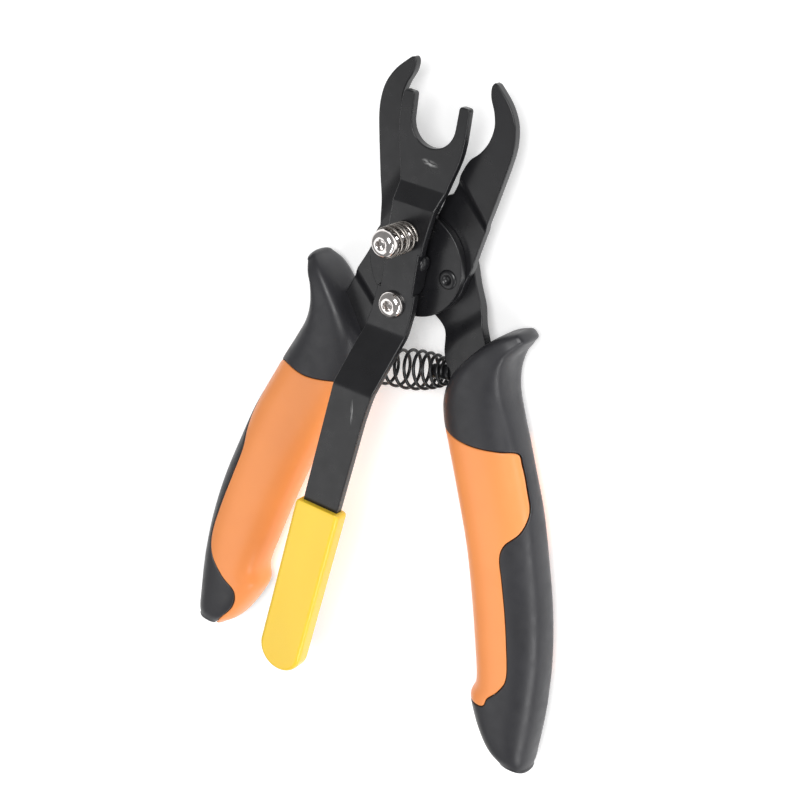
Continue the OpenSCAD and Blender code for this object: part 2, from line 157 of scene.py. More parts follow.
class Finish:
    """One procedural material, with its pattern nodes on Object coordinates."""

    def __init__(self, name):
        self.material = bpy.data.materials.new(name)
        self.material.use_nodes = True
        self.tree = self.material.node_tree
        self.shader = self.tree.nodes["Principled BSDF"]
        self.coords = self.tree.nodes.new("ShaderNodeTexCoord").outputs["Object"]

    def link(self, source, target):
        self.tree.links.new(source, target)

    def mapped(self, centre=(0, 0, 0), turn=(0, 0, 0), stretch=(1, 1, 1)):
        """Object coordinates centred, turned and stretched."""
        node = self.tree.nodes.new("ShaderNodeMapping")
        node.vector_type = "TEXTURE"
        node.inputs["Location"].default_value = centre
        node.inputs["Rotation"].default_value = turn
        node.inputs["Scale"].default_value = stretch
        self.link(self.coords, node.inputs["Vector"])
        return node.outputs["Vector"]

    def noise(self, scale, detail=3.0, vector=None):
        """Noise with that many features a metre."""
        node = self.tree.nodes.new("ShaderNodeTexNoise")
        node.inputs["Scale"].default_value = scale
        node.inputs["Detail"].default_value = detail
        self.link(vector or self.coords, node.inputs["Vector"])
        return node.outputs["Fac"]

    def ranged(self, value, low, high, start=0.35, end=0.65):
        """value from start to end, read as low to high."""
        node = self.tree.nodes.new("ShaderNodeMapRange")
        node.inputs["From Min"].default_value = start
        node.inputs["From Max"].default_value = end
        node.inputs["To Min"].default_value = low
        node.inputs["To Max"].default_value = high
        self.link(value, node.inputs["Value"])
        return node.outputs["Result"]

    def mixed(self, factor, first, second):
        """A colour from first to second; each is a colour or a socket."""
        node = self.tree.nodes.new("ShaderNodeMix")
        node.data_type = "RGBA"
        self.link(factor, node.inputs["Factor"])
        for socket, value in ((node.inputs[6], first), (node.inputs[7], second)):
            if isinstance(value, bpy.types.NodeSocket):
                self.link(value, socket)
            else:
                socket.default_value = (*value, 1.0)
        return node.outputs[2]

    def maths(self, operation, first, second):
        """One math operation on two values or sockets."""
        node = self.tree.nodes.new("ShaderNodeMath")
        node.operation = operation
        for socket, value in zip(node.inputs, (first, second)):
            if isinstance(value, bpy.types.NodeSocket):
                self.link(value, socket)
            else:
                socket.default_value = value
        return node.outputs[0]

    def bump(self, height, strength, depth):
        """Small relief from a pattern, depth in metres."""
        node = self.tree.nodes.new("ShaderNodeBump")
        node.inputs["Strength"].default_value = strength
        node.inputs["Distance"].default_value = depth
        self.link(height, node.inputs["Height"])
        self.link(node.outputs["Normal"], self.shader.inputs["Normal"])

    def set(self, **values):
        """Even values on the shader's own sockets, with _ for a space."""
        for name, value in values.items():
            self.shader.inputs[name.replace("_", " ")].default_value = value


def shade(base, factor):
    """A colour made lighter or darker."""
    return tuple(min(1.0, channel * factor) for channel in base)


def paint_finish(name, scuffs=()):
    """Satin black paint with a little orange peel, and light scuffs where it was rubbed."""
    finish = Finish(name)
    base = colours().paint
    body = finish.mixed(
        finish.ranged(finish.noise(70), 0.0, 1.0), shade(base, 0.86), shade(base, 1.14)
    )
    rough = finish.ranged(finish.noise(240), 0.27, 0.34)
    for centre, turn, length, width in scuffs:
        spot = finish.mapped(centre, (0, 0, turn), (length, width, 0.004))
        gradient = finish.tree.nodes.new("ShaderNodeTexGradient")
        gradient.gradient_type = "SPHERICAL"
        finish.link(spot, gradient.inputs["Vector"])
        streak = finish.ranged(finish.noise(1.4, 5.0, spot), 0.0, 1.0, 0.42, 0.62)
        mask = finish.maths("MULTIPLY", finish.ranged(gradient.outputs["Fac"], 0, 1, 0.05, 0.6), streak)
        body = finish.mixed(mask, body, (0.30, 0.30, 0.30))
    finish.link(body, finish.shader.inputs["Base Color"])
    finish.link(rough, finish.shader.inputs["Roughness"])
    finish.set(IOR=1.45, Coat_Weight=0.15, Coat_Roughness=0.2)
    finish.bump(finish.noise(1100, 2.0), 0.10, 0.00006)
    return finish.material


def wire_finish():
    """Black oxide on wire, with fine draw marks."""
    finish = Finish("black_wire_finish")
    base = colours().wire
    finish.link(
        finish.mixed(finish.ranged(finish.noise(600), 0, 1), shade(base, 0.7), shade(base, 1.5)),
        finish.shader.inputs["Base Color"],
    )
    finish.link(finish.ranged(finish.noise(900), 0.25, 0.4), finish.shader.inputs["Roughness"])
    finish.set(IOR=1.5)
    finish.bump(finish.noise(2600, 2.0), 0.12, 0.00004)
    return finish.material


def metal_finish(name, base, rough, grain):
    """Bare or plated metal with slight stains and grain."""
    finish = Finish(name)
    finish.link(
        finish.mixed(finish.ranged(finish.noise(420), 0, 1), shade(base, 0.85), shade(base, 1.08)),
        finish.shader.inputs["Base Color"],
    )
    finish.link(
        finish.ranged(finish.noise(1500), rough * 0.8, rough * 1.3), finish.shader.inputs["Roughness"]
    )
    finish.set(Metallic=1.0)
    finish.bump(finish.noise(grain, 2.0), 0.08, 0.00003)
    return finish.material


def vinyl_finish():
    """Glossy dipped vinyl, thicker and deeper in colour in soft runs."""
    finish = Finish("yellow_vinyl_finish")
    base = colours().sleeve
    runs = finish.noise(26, 2.0, finish.mapped(stretch=(1, 4, 1)))
    finish.link(
        finish.mixed(finish.ranged(runs, 0, 1), shade(base, 0.93), shade(base, 1.05)),
        finish.shader.inputs["Base Color"],
    )
    finish.link(finish.ranged(finish.noise(120), 0.16, 0.24), finish.shader.inputs["Roughness"])
    finish.set(IOR=1.5, Subsurface_Weight=0.12, Subsurface_Radius=(0.002, 0.0012, 0.0004))
    finish.bump(finish.noise(90, 2.0), 0.10, 0.0004)
    return finish.material


def core_finish():
    """Hard moulded plastic with a fine satin grain."""
    finish = Finish("orange_core_finish")
    base = colours().core
    finish.link(
        finish.mixed(finish.ranged(finish.noise(30), 0, 1), shade(base, 0.95), shade(base, 1.03)),
        finish.shader.inputs["Base Color"],
    )
    finish.link(finish.ranged(finish.noise(300), 0.30, 0.37), finish.shader.inputs["Roughness"])
    finish.set(IOR=1.46)
    finish.bump(finish.noise(2200, 2.0), 0.10, 0.00005)
    return finish.material


def cover_finish():
    """Soft moulded rubber with a fine matt grain."""
    finish = Finish("black_cover_finish")
    base = colours().cover
    finish.link(
        finish.mixed(finish.ranged(finish.noise(45), 0, 1), shade(base, 0.9), shade(base, 1.12)),
        finish.shader.inputs["Base Color"],
    )
    finish.link(finish.ranged(finish.noise(200), 0.36, 0.46), finish.shader.inputs["Roughness"])
    finish.set(IOR=1.5)
    finish.bump(finish.noise(2600, 3.0), 0.22, 0.00006)
    return finish.material


def finish_for(slot):
    """The material of a record slot, made once."""
    made = bpy.data.materials.get(slot + "_finish")
    if made:
        return made
    makers = {
        "black_steel": lambda: paint_finish("black_steel_finish"),
        "black_wire": wire_finish,
        "spring_steel": lambda: metal_finish("spring_steel_finish", colours().steel, 0.26, 2500),
        "bright_screw": lambda: metal_finish("bright_screw_finish", colours().chrome, 0.11, 1800),
        # A darker metal that paints shade into the screws' sockets and shanks.
        "screw_painted_shade": lambda: metal_finish("screw_painted_shade_finish", (0.10, 0.08, 0.07), 0.45, 1800),
        "yellow_vinyl": vinyl_finish,
        "orange_core": core_finish,
        "black_cover": cover_finish,
    }
    return makers[slot]()


# ---- making pieces ----------------------------------------------------------


def add_mesh(mesh, name, slot, nodes, body, material=None):
    """Shows a finished mesh as a piece, in place of those CAD nodes."""
    piece = bpy.data.objects.new(name, mesh)
    bpy.context.scene.collection.objects.link(piece)
    mesh.materials.clear()
    mesh.materials.append(material or finish_for(slot))
    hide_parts(*nodes)
    if body:
        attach(piece, body)
    return piece


def add_piece(bm, name, slot, nodes, body, material=None, sharp=32):
    """Makes a piece from a bmesh in millimetres from the pivot. sharp is in degrees."""
    bmesh.ops.scale(bm, vec=(MM, MM, MM), verts=bm.verts)
    bmesh.ops.translate(bm, vec=PIVOT, verts=bm.verts)
    mesh = bpy.data.meshes.new(name)
    bm.to_mesh(mesh)
    bm.free()
    mesh.shade_smooth()
    mesh.set_sharp_from_angle(angle=radians(sharp))
    return add_mesh(mesh, name, slot, nodes, body, material)


def flat_normals(piece):
    """Keeps large flat faces flat beside small rounded ones."""
    weighted = piece.modifiers.new("flat_normals", "WEIGHTED_NORMAL")
    weighted.keep_sharp = True
    weighted.weight = 80


# How soft the bends of the CAD plates are: not at all.
SHARP_BEND = 1e-6


def node_copy(node, bends=()):
    """A copy of a CAD node in millimetres from the pivot, without its bends, its triangles merged."""
    bm = bmesh.new()
    bm.from_mesh(frame["nodes"][node].data)
    bmesh.ops.translate(bm, vec=-PIVOT, verts=bm.verts)
    bmesh.ops.scale(bm, vec=(1 / MM, 1 / MM, 1 / MM), verts=bm.verts)
    bmesh.ops.remove_doubles(bm, verts=bm.verts, dist=0.003)
    for vert in bm.verts:
        vert.co.z -= lift(vert, bends, SHARP_BEND)
    bm.normal_update()
    bmesh.ops.dissolve_limit(
        bm, angle_limit=radians(0.6), use_dissolve_boundaries=False,
        verts=bm.verts, edges=bm.edges,
    )
    return bm


def is_face(face):
    """Whether a face is one of a plate's two flat sides."""
    return abs(face.normal.z) > 0.5


def turn_of(edge):
    """Degrees between an edge's two faces."""
    if len(edge.link_faces) != 2:
        return 0.0
    return edge.calc_face_angle(0.0) * 180 / pi


def is_rim(edge):
    """Where a plate's face meets its cut wall."""
    return turn_of(edge) > 40 and edge.is_convex and sum(map(is_face, edge.link_faces)) == 1


def is_corner(edge):
    """Where two cut walls meet."""
    return turn_of(edge) > 36 and not any(map(is_face, edge.link_faces))


def round_edges(bm, pick, radius, segments):
    """Rounds the edges that pick chooses; radius is in metres."""
    edges = [edge for edge in bm.edges if pick(edge)]
    if edges:
        bmesh.ops.bevel(
            bm, geom=edges, offset=radius / MM, offset_type="OFFSET", segments=segments,
            affect="EDGES", profile=0.5, material=-1, clamp_overlap=False, loop_slide=True,
        )
        bmesh.ops.remove_doubles(bm, verts=bm.verts, dist=0.002)


def eased(x, ease):
    """x held between 0 and 1, with its two corners rounded for ease on both sides."""
    if x < 0.5:
        return 0.0 if x < -ease else x if x > ease else (x + ease) ** 2 / (4 * ease)
    return 1.0 - eased(1.0 - x, ease)


def lift(vert, bends, ease):
    """How far a plate's bends lift it there. ease is a share of each bend's length."""
    total = 0.0
    for direction, start, end, rise in bends:
        along = vert.co.x * cos(radians(direction)) + vert.co.y * sin(radians(direction))
        total += rise * eased((along - start) / (end - start), ease)
    return total


def stamped_plate(node, sharp_bends, bends, ease, corners=is_corner):
    """A CAD plate laid flat, rounded at its corners and edges, and bent again with soft bends."""
    bm = node_copy(node, sharp_bends)
    round_edges(bm, corners, sizes().corner, 4)
    round_edges(bm, is_rim, sizes().edge, 3)
    for direction, start, end, rise in bends:
        way = Vector((cos(radians(direction)), sin(radians(direction)), 0))
        for step in (-1, -0.5, 0, 0.5, 1):
            for base, sign in ((start, 1), (end, -1)):
                place = base + sign * step * ease * (end - start)
                bmesh.ops.bisect_plane(
                    bm, geom=bm.verts[:] + bm.edges[:] + bm.faces[:], dist=0.0005,
                    plane_co=way * place, plane_no=way,
                )
    for vert in bm.verts:
        vert.co.z += lift(vert, bends, ease)
    return bm


def lathe(profile, steps=48):
    """Turns pairs of radius and height round Z."""
    bm = bmesh.new()
    verts = [bm.verts.new((radius, 0, height)) for radius, height in profile]
    edges = [bm.edges.new(pair) for pair in zip(verts, verts[1:])]
    bmesh.ops.spin(
        bm, geom=verts + edges, cent=(0, 0, 0), axis=(0, 0, 1), angle=2 * pi,
        steps=steps, use_merge=True,
    )
    bmesh.ops.remove_doubles(bm, verts=bm.verts, dist=0.001)
    bmesh.ops.recalc_face_normals(bm, faces=bm.faces)
    return bm


# ---- plates -----------------------------------------------------------------


# Each plate's bends in the frame and as shown: direction in degrees, start, end and rise.
PLATES = {
    "left_jaw_plate": ("left_jaw", MAIN, ((150, 18.5, 21.1, -1.6),), ((150, 18.5, 25, -1.6),)),
    "right_jaw_plate": (
        "right_jaw", JAW, ((45, 28.4, 31, 1.6), (227, 24.4, 27.5, -1.8)),
        ((45, 28.4, 31, 1.6), (227, 24.4, 27.5, -1.8)),
    ),
    "back_plate": ("back_arm", MAIN, ((-44, 24.4, 27.5, 1.85),), ((-44, 24.2, 29.2, 1.85),)),
}
PLATE_EASE = 0.4


class PLIERS_OT_plates(bpy.types.Operator):
    """Builds the two jaw plates and the back plate"""

    bl_idname = "pliers.plates"
    bl_label = "Plates"

    def execute(self, context):
        for node, (name, body, sharp_bends, bends) in PLATES.items():
            bm = stamped_plate(node, sharp_bends, bends, PLATE_EASE)
            flat_normals(add_piece(bm, name, "black_steel", [node], body))
        return {"FINISHED"}


# ---- pivot ------------------------------------------------------------------

RIVET = Vector((13.4, -1.4, 0))


class PLIERS_OT_pivot(bpy.types.Operator):
    """Builds the pivot's screw and nut, the stop rivet and the lever's fulcrum"""

    bl_idname = "pliers.pivot"
    bl_label = "Pivot"

    def execute(self, context):
        for name, node, radius in (
            ("pivot_shank", "pivot_screw", 0.5), ("pivot_hex_nut", "pivot_nut", 0.4),
            ("fulcrum_cradle", "fulcrum_block", 0.4),
        ):
            bm = node_copy(node)
            round_edges(bm, lambda edge: turn_of(edge) > 36, radius * MM, 3)
            flat_normals(add_piece(bm, name, "black_steel", [node], MAIN))
        self.stop_rivet()
        self.fulcrum_pin()
        return {"FINISHED"}

    def stop_rivet(self):
        low, high = node_box("stop_rivet")
        head = (high.x - low.x) / 2
        shank = 2.45
        top = [
            (0, high.z - 0.95), (0.7, high.z - 0.9), (1.25, high.z - 0.55), (1.6, high.z - 0.1),
            (2.0, high.z), (2.6, high.z - 0.04), (head - 0.25, high.z - 0.25),
            (head, high.z - 0.55), (head, high.z - 0.7), (shank, high.z - 0.7),
        ]
        foot = [
            (shank, low.z + 0.8), (head, low.z + 0.8), (head, low.z + 0.4),
            (head - 0.4, low.z + 0.1), (head - 1, low.z), (0, low.z),
        ]
        bm = lathe(top + foot)
        bmesh.ops.translate(bm, vec=RIVET, verts=bm.verts)
        add_piece(bm, "stop_rivet_turned", "black_steel", ["stop_rivet"], MAIN, sharp=50)

    def fulcrum_pin(self):
        low, high = node_box("fulcrum_pin")
        middle = (low + high) / 2
        reach = (high.x - low.x) / 2
        head = (high.z - low.z) / 2
        dome = 1.5
        shank = 1.78
        half = [(shank, 0), (shank, reach - dome), (head - 0.1, reach - dome), (head, reach - dome + 0.15)]
        half += [
            (head * cos(radians(a)), reach - dome + 0.15 + (dome - 0.15) * sin(radians(a)))
            for a in range(10, 91, 10)
        ]
        bm = lathe([(r, -z) for r, z in reversed(half)] + half[1:])
        bmesh.ops.rotate(bm, cent=(0, 0, 0), matrix=Matrix.Rotation(pi / 2, 3, "Y"), verts=bm.verts)
        bmesh.ops.translate(bm, vec=middle, verts=bm.verts)
        add_piece(bm, "fulcrum_pin_turned", "black_steel", ["fulcrum_pin"], LEVER, sharp=50)


# ---- fork lever -------------------------------------------------------------


LEVER_BENDS = ((90, 22.3, 28.1, -3), (-90, 23.6, 42.7, 11))
LEVER_EASE = 0.07
FORK_Y = 40
# How much further the dipped sleeve's mouth reaches up the handle.
MOUTH_STRETCH = 1.5


def is_tip(edge):
    """A corner of the fork's two tips."""
    return is_corner(edge) and edge.verts[0].co.y > FORK_Y


class PLIERS_OT_lever(bpy.types.Operator):
    """Builds the fork lever and its dipped sleeve"""

    bl_idname = "pliers.lever"
    bl_label = "Fork lever"

    def execute(self, context):
        bm = stamped_plate("fork_lever", LEVER_BENDS, LEVER_BENDS, LEVER_EASE, is_tip)
        scuffs = (
            (PIVOT + Vector((2.8, 36.6, 10)) * MM, radians(-6), 0.0036, 0.0013),
            (PIVOT + Vector((-4.4, -51, 24)) * MM, radians(96), 0.0052, 0.0006),
        )
        paint = paint_finish("lever_paint_finish", scuffs)
        flat_normals(add_piece(bm, "fork_lever_plate", "black_steel", ["fork_lever"], LEVER, paint))
        self.sleeve()
        return {"FINISHED"}

    def sleeve(self):
        bm = node_copy("lever_sleeve")
        low, high = node_box("lever_sleeve")

        def outer(edge):
            at_skin = all(v.co.z > high.z - 0.02 or v.co.z < low.z + 0.02 for v in edge.verts)
            return at_skin and turn_of(edge) > 40

        round_edges(bm, outer, sizes().sleeve_edge, 6)
        for vert in bm.verts:
            vert.co.y += MOUTH_STRETCH * max((vert.co.y - low.y) / (high.y - low.y), 0) ** 6
        flat_normals(add_piece(bm, "dipped_sleeve", "yellow_vinyl", ["lever_sleeve"], LEVER))


# ---- screws and springs -----------------------------------------------------


def button_screw(head_radius, head_height, shank_radius, length):
    """A button-head screw, its head on the XY plane, with the socket and shank in a darker material that
    paints shade into them.
    """
    steps = 48
    socket_depth, cone_depth = 1.5, 0.5
    land = 2.05
    rim_height = 0.4
    reach, rise = head_radius - land, head_height - rim_height
    dome = [
        (land + reach * cos(radians(a)), rim_height + rise * sin(radians(a)))
        for a in range(84, 2, -6)
    ]
    profile = [(land - 0.15, head_height)] + dome
    profile += [(head_radius, 0.36), (head_radius, 0.12), (head_radius - 0.12, 0), (shank_radius, 0)]
    pitch = 0.8
    turns = int((length - 1.5) / pitch)
    for i in range(turns):
        depth = -0.8 - i * pitch
        profile += [(shank_radius, depth), (shank_radius, depth - 0.15)]
        profile += [(shank_radius - 0.4, depth - 0.45), (shank_radius - 0.4, depth - 0.5)]
    profile += [(shank_radius - 0.3, -length + 0.3), (shank_radius - 0.6, -length), (0, -length)]
    bm = lathe(profile, steps)
    rim = [edge for edge in bm.edges if edge.is_boundary]
    outside = len(bm.faces)
    socket = bmesh.ops.create_circle(bm, segments=6, radius=1.5 / cos(radians(30)))["verts"]
    bmesh.ops.translate(bm, vec=(0, 0, head_height - 0.15), verts=socket)
    sides = [edge for edge in bm.edges if all(v in socket for v in edge.verts)]
    bmesh.ops.subdivide_edges(bm, edges=sides, cuts=steps // 6 - 1)
    hexagon = [edge for edge in bm.edges if edge.is_wire]
    bmesh.ops.bridge_loops(bm, edges=rim + hexagon)
    for drop, shrink in ((socket_depth, 1.0), (cone_depth, 0.06)):
        wall = bmesh.ops.extrude_edge_only(bm, edges=[e for e in bm.edges if e.is_boundary])
        moved = [item for item in wall["geom"] if isinstance(item, bmesh.types.BMVert)]
        bmesh.ops.scale(bm, vec=(shrink, shrink, 1), verts=moved)
        bmesh.ops.translate(bm, vec=(0, 0, -drop), verts=moved)
    bmesh.ops.holes_fill(bm, edges=[e for e in bm.edges if e.is_boundary], sides=0)
    # The socket's walls and the shank take the second, darker material: painted shade.
    bm.faces.ensure_lookup_table()
    for face in bm.faces[outside + steps:]:
        face.material_index = 1
    for face in bm.faces:
        if face.calc_center_median().z < -0.05:
            face.material_index = 1
    bmesh.ops.recalc_face_normals(bm, faces=bm.faces)
    return bm


def coil_mesh(name, points, wire):
    """A round wire along points, in millimetres from the pivot, as a mesh in place."""
    curve = bpy.data.curves.new(name, "CURVE")
    curve.dimensions = "3D"
    curve.bevel_depth = wire
    curve.bevel_resolution = 3
    curve.use_fill_caps = True
    spline = curve.splines.new("POLY")
    spline.points.add(len(points) - 1)
    for spot, place in zip(spline.points, points):
        spot.co = (*(PIVOT + place * MM), 1.0)
    holder = bpy.data.objects.new(name + "_path", curve)
    bpy.context.scene.collection.objects.link(holder)
    bpy.context.view_layer.update()
    mesh = bpy.data.meshes.new_from_object(holder.evaluated_get(bpy.context.evaluated_depsgraph_get()))
    bpy.data.objects.remove(holder)
    bpy.data.curves.remove(curve)
    bm = bmesh.new()
    bm.from_mesh(mesh)
    bmesh.ops.remove_doubles(bm, verts=bm.verts, dist=1e-7)
    bmesh.ops.recalc_face_normals(bm, faces=bm.faces)
    bm.to_mesh(mesh)
    bm.free()
    mesh.shade_smooth()
    mesh.set_sharp_from_angle(angle=radians(50))
    mesh.name = name
    return mesh


class PLIERS_OT_screws(bpy.types.Operator):
    """Builds the two bright button-head screws and the spring under the tall one"""

    bl_idname = "pliers.screws"
    bl_label = "Screws and lever spring"

    def execute(self, context):
        for name, node, turn in (
            ("tall_button_screw", "spring_screw", 20), ("short_button_screw", "stop_screw", 35),
        ):
            low, high = node_box(node)
            middle = (low + high) / 2
            head_radius = (high.x - low.x) / 2
            head_height = 2.75
            bm = button_screw(head_radius, head_height, 2.48, high.z - head_height - low.z)
            bmesh.ops.rotate(
                bm, cent=(0, 0, 0), matrix=Matrix.Rotation(radians(turn), 3, "Z"), verts=bm.verts
            )
            bmesh.ops.translate(bm, vec=(middle.x, middle.y, high.z - head_height), verts=bm.verts)
            piece = add_piece(bm, name, "bright_screw", [node], MAIN, sharp=28)
            # The second, darker material paints shade into the socket and shank.
            piece.data.materials.append(finish_for("screw_painted_shade"))
        self.lever_spring()
        return {"FINISHED"}

    def lever_spring(self):
        low, high = node_box("lever_spring")
        wire = sizes().lever_wire / MM
        middle = (low + high) / 2
        radius = (high.x - low.x) / 2 - wire
        rise = high.z - low.z - 2 * wire
        coils, steps = 5, 44
        points = []
        for i in range(coils * steps + 1):
            t = i / (coils * steps)
            turn = 2 * pi * coils * t
            height = low.z + wire + rise * (t - 0.045 * sin(4 * pi * t))
            points.append(Vector((middle.x + radius * cos(turn), middle.y + radius * sin(turn), height)))
        mesh = coil_mesh("lever_coil", points, wire * MM)
        piece = add_mesh(mesh, "lever_coil", "spring_steel", ["lever_spring"], None)
        foot = PIVOT + Vector((middle.x, middle.y, low.z)) * MM
        head = PIVOT + Vector((middle.x, middle.y, high.z)) * MM
        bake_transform(piece, LEVER, MAIN, start=foot, end=head)


RETURN_LEFT = Vector((-15.6, -44.9, -1.8))
RETURN_RIGHT = Vector((15.9, -35.9, -1.8))


class PLIERS_OT_return_spring(bpy.types.Operator):
    """Builds the barrel spring between the arms, and the pegs under its ends"""

    bl_idname = "pliers.return_spring"
    bl_label = "Return spring"

    def execute(self, context):
        wire = sizes().return_wire / MM
        axis = (RETURN_LEFT - RETURN_RIGHT).normalized()
        across = Vector((0, 0, 1))
        side = axis.cross(across)
        length = (RETURN_LEFT - RETURN_RIGHT).length - 2 * wire - 0.2
        coils, steps = 9, 40
        points = []
        for i in range(coils * steps + 1):
            t = i / (coils * steps)
            turn = 2 * pi * coils * t
            radius = self.swell(t) - wire
            along = wire + 0.1 + length * t**1.5
            points.append(
                RETURN_RIGHT + axis * along + (across * cos(turn) + side * sin(turn)) * radius
            )
        mesh = coil_mesh("return_coil", points, wire * MM)
        piece = add_mesh(mesh, "return_coil", "black_wire", ["return_spring"], None)
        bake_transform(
            piece, MAIN, JAW, start=PIVOT + RETURN_RIGHT * MM, end=PIVOT + RETURN_LEFT * MM
        )
        for name, node, body in (
            ("left_peg", "left_spring_peg", JAW), ("right_peg", "right_spring_peg", MAIN),
        ):
            bm = node_copy(node)
            round_edges(bm, lambda edge: turn_of(edge) > 50, 0.25 * MM, 2)
            flat_normals(add_piece(bm, name, "black_steel", [node], body))
        return {"FINISHED"}

    def swell(self, t):
        """Outer radius of the spring from its right end to its left."""
        widest = 0.62
        if t < widest:
            return 4.3 + 3.1 * sin(pi / 2 * t / widest)
        return 7.4 - 1.6 * (t - widest) / (1 - widest)


# ---- grips ------------------------------------------------------------------

GRIP_MID = -1.8
GRIP_HALF = 10.0
# How far the rounded ends stand out past the edges' ends.
FLARE_DOME = 2.2
TAIL_DOME = 3.2
# How square a section is: 1 is an ellipse and 0 a rectangle. The flared top is the squarer.
GRIP_POWER = 0.82
TOP_POWER = 0.58
# Edges of the right grip in plan, from the flared top to the tail.
GRIP_INNER = (
    (41.4, -11.6), (36.2, -14.2), (30, -19.8), (23.6, -27.8), (19.2, -35.2), (17.4, -43),
    (18.6, -50.6), (22, -59), (28.8, -75.4), (35.8, -93), (41.4, -111), (46.2, -128.6),
    (49.4, -142), (48.2, -148.4), (50, -153.6), (53.8, -160.6), (58.4, -166.8), (64.2, -171),
)
GRIP_OUTER = (
    (44.7, -14.6), (43, -17.6), (41.2, -21.2), (40.6, -27), (42.1, -34), (45.9, -42),
    (50, -50.4), (54, -59.6), (60.4, -74.6), (66, -92), (71, -109.4), (74.4, -127),
    (75.8, -142), (76.2, -150), (76.2, -157.6), (76.1, -163), (76.1, -167), (75.6, -170.2),
)
GRIP_SWELL = (0.56, 0.84, 0.95, 0.98, 1, 1, 1, 1, 1, 1, 1, 1, 1, 1, 0.97, 0.92, 0.82, 0.64)
# Where the core comes to the surface, on the wide side and on the narrow side.
SPLIT_WIDE = (
    (10, -51), (23.5, -53.8), (34, -54.2), (44, -52.9), (49.6, -52.4), (52, -56.4),
    (55.5, -64.4), (58.4, -72.2), (57.6, -78.8), (53.4, -84.6), (52.6, -90), (55, -97.8),
    (58.4, -109), (61.4, -120.8), (63.8, -133), (62, -139.4), (58, -144.8), (55.4, -149.4),
    (40, -151),
)
SPLIT_NARROW = (
    (10, -50.6), (24.4, -52), (36, -53.4), (49, -52.4), (54, -60.6), (57.4, -69.6),
    (59.8, -77), (60.6, -84), (60.6, -92), (63.6, -104), (68, -120), (70.6, -133),
    (69, -141), (62.6, -148), (56.6, -152.6), (57.4, -160.4), (64.6, -169.6), (70.8, -180),
    (40, -190),
)


# Height over the middle plane where the outer side changes from the wide wave to the narrow one,
# on the right grip, and on the left grip before it is turned over.
RIGHT_SEAM = -7.0
LEFT_SEAM = 4.5
# Height over which the two waves run into each other on the inner side.
BLEND_HEIGHT = 5.0
# How much longer the left grip is at its flare and at its tail.
FLARE_STRETCH = 2.6
TAIL_STRETCH = 2.4


def smooth_at(points, t):
    """A smooth curve through points, read at t from 0 to 1."""
    spots = np.asarray(points, float)
    place = t * (len(spots) - 1)
    i = min(int(place), len(spots) - 2)
    f = place - i
    before, here, after = spots[max(i - 1, 0)], spots[i], spots[i + 1]
    beyond = spots[min(i + 2, len(spots) - 1)]
    bend = before - 2.5 * here + 2 * after - 0.5 * beyond
    twist = 1.5 * (here - after) + (beyond - before) / 2
    return here + f * ((after - before) / 2 + f * (bend + f * twist))


def ramp(x, start, end):
    """0 up to start and 1 from end on, straight between them."""
    return min(max((x - start) / (end - start), 0.0), 1.0)


def rounded(c, power):
    """A cosine or sine bent towards a square section."""
    return (1 if c > 0 else -1) * abs(c) ** power


def grip_point(turn, run):
    """A point of the right grip's skin: turn is round it, run is along it with domed ends."""
    dome = FLARE_DOME if run < 0.5 else TAIL_DOME
    first, last = 0.012, 0.99
    t = ramp(run, 0.0, 1.0)
    t = first + (last - first) * t
    inner, outer = smooth_at(GRIP_INNER, t), smooth_at(GRIP_OUTER, t)
    middle = (inner + outer) / 2
    half = (outer - inner) / 2
    thick = min(float(smooth_at(GRIP_SWELL, t)), 1.0) * GRIP_HALF
    over = max(-run, run - 1.0, 0.0)
    if over:
        step = 0.02 if run < 0 else -0.02
        near = (smooth_at(GRIP_INNER, t + step) + smooth_at(GRIP_OUTER, t + step)) / 2
        outward = (middle - near) / np.linalg.norm(middle - near)
        middle = middle + outward * dome * sin(over * pi / 2)
        shrink = max(cos(over * pi / 2), 0.01)
        half = half * shrink
        thick = thick * shrink
    top = ramp(t, 0.34, 0.14)
    power = GRIP_POWER + (TOP_POWER - GRIP_POWER) * top * top * (3 - 2 * top)
    c, s = rounded(cos(turn), power), rounded(sin(turn), power)
    return Vector((middle[0] + half[0] * c, middle[1] + half[1] * c, GRIP_MID + thick * s))


def signed_distance(xy, outline):
    """Distance of each point from the outline's curve, positive inside it."""
    curve = np.array([smooth_at(outline, i / 150) for i in range(151)])
    a, b = curve[:-1], curve[1:]
    run = b - a
    to = xy[:, None, :] - a[None]
    f = np.clip((to * run).sum(2) / (run * run).sum(1), 0, 1)
    gap = np.linalg.norm(to - f[..., None] * run, axis=2).min(1)
    a, b = curve, np.roll(curve, -1, axis=0)
    x, y = xy[:, :1], xy[:, 1:]
    spans = (a[:, 1] > y) != (b[:, 1] > y)
    rise = np.where(b[:, 1] == a[:, 1], 1.0, b[:, 1] - a[:, 1])
    crossing = a[:, 0] + (y - a[:, 1]) * (b[:, 0] - a[:, 0]) / rise
    inside = (spans & (x < crossing)).sum(1) % 2 == 1
    return np.where(inside, gap, -gap)


def core_field(bm, seam):
    """How far each vertex is inside the core's region: blended on the grip's inner side, and
    parted at the seam on its outer side."""
    side = bm.verts.layers.float["side"]
    outer = np.array([v[side] for v in bm.verts]) > 0
    places = np.array([v.co for v in bm.verts])
    level = places[:, 2] - GRIP_MID
    wide = signed_distance(places[:, :2], SPLIT_WIDE)
    narrow = signed_distance(places[:, :2], SPLIT_NARROW)
    height = np.clip((level - seam) / BLEND_HEIGHT + 0.5, 0, 1)
    share = height * height * (3 - 2 * height)
    parted = np.maximum(np.minimum(wide, level - max(seam, -1)), np.minimum(narrow, seam - level))
    return np.where(outer, parted, wide * share + narrow * (1 - share))


